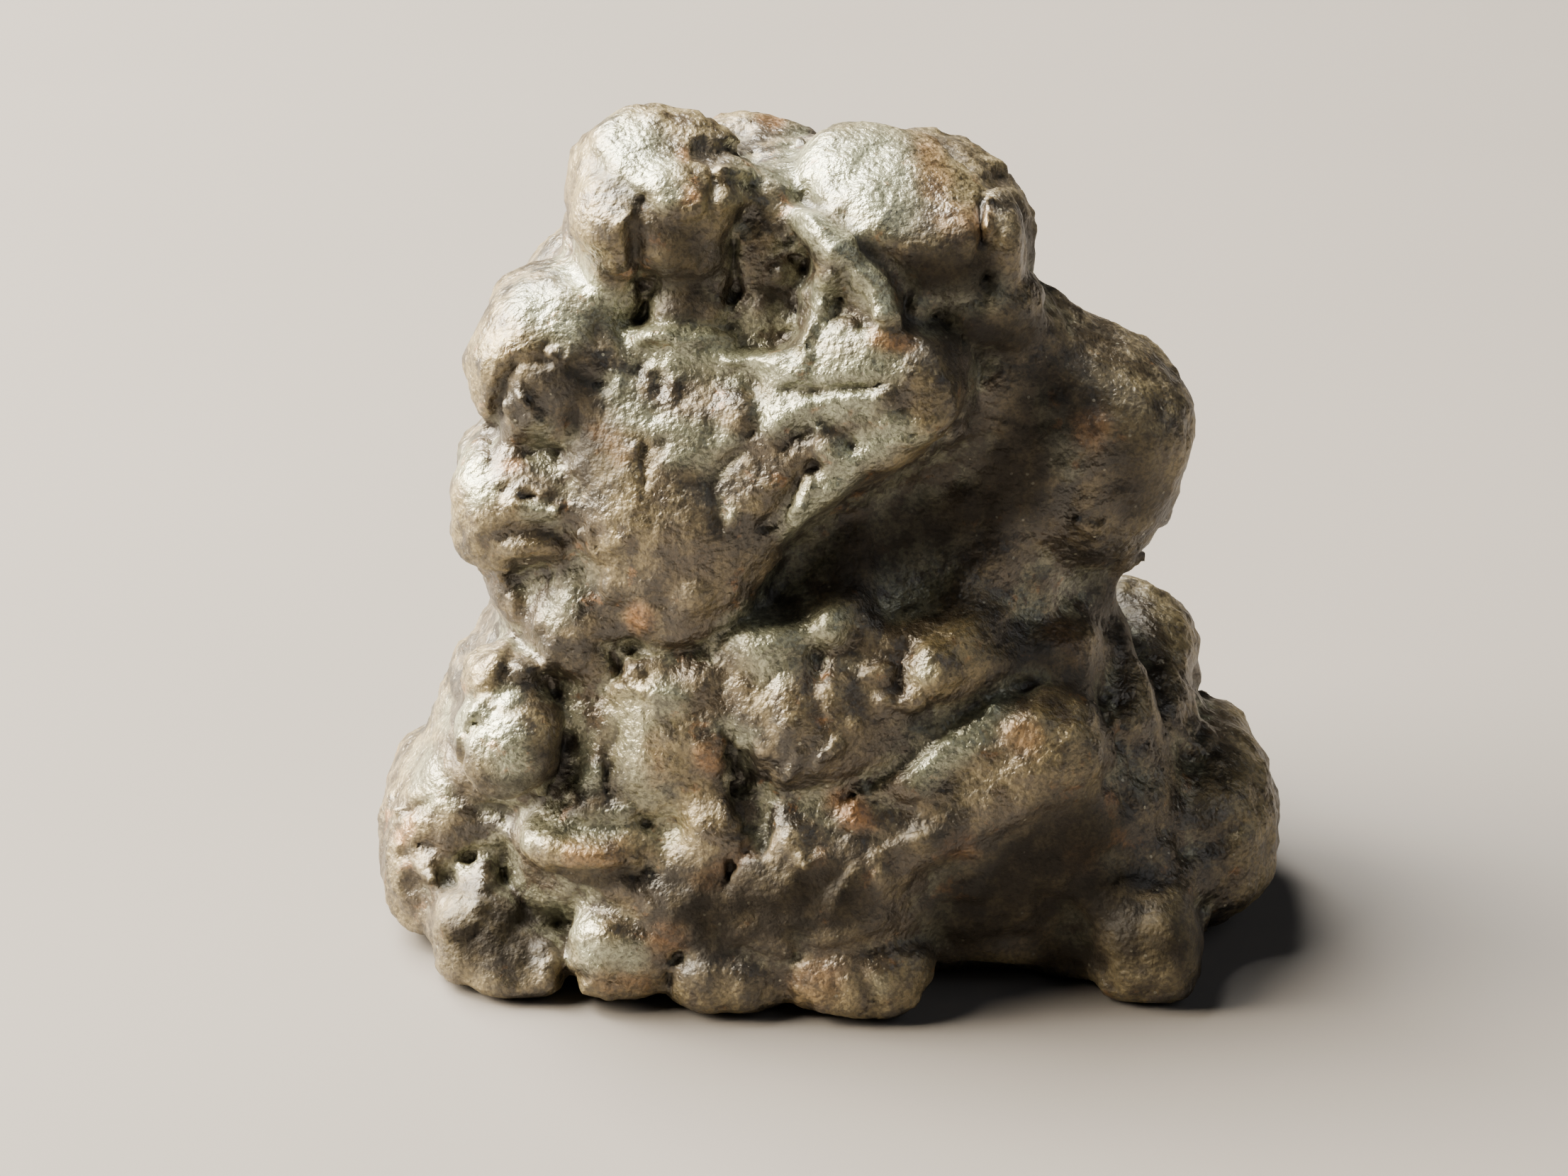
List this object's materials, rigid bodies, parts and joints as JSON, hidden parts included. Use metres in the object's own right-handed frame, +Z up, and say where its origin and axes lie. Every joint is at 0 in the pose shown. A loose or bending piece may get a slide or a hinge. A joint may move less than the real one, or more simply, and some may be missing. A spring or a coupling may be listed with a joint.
{
  "type": "prophecy stone",
  "caption": "Small lumpy iron-oxide concretion that stands upright on a worn, uneven foot; a collector's mineral specimen.",
  "frame": {"origin": "middle of the stone's box, on the plane that the foot rests on", "axes": "+Z up, the front of the stone towards -Y, the overhanging ledge pointing towards +X"},
  "size_m": [0.0324, 0.021, 0.0302],
  "materials": {
    "iron_oxide_stone": "natural semi-gloss desert polish over a dark brown, finely crinkled skin"
  },
  "bodies": {
    "root": {"prophecy_stone": "iron_oxide_stone"}
  },
  "joints": []
}
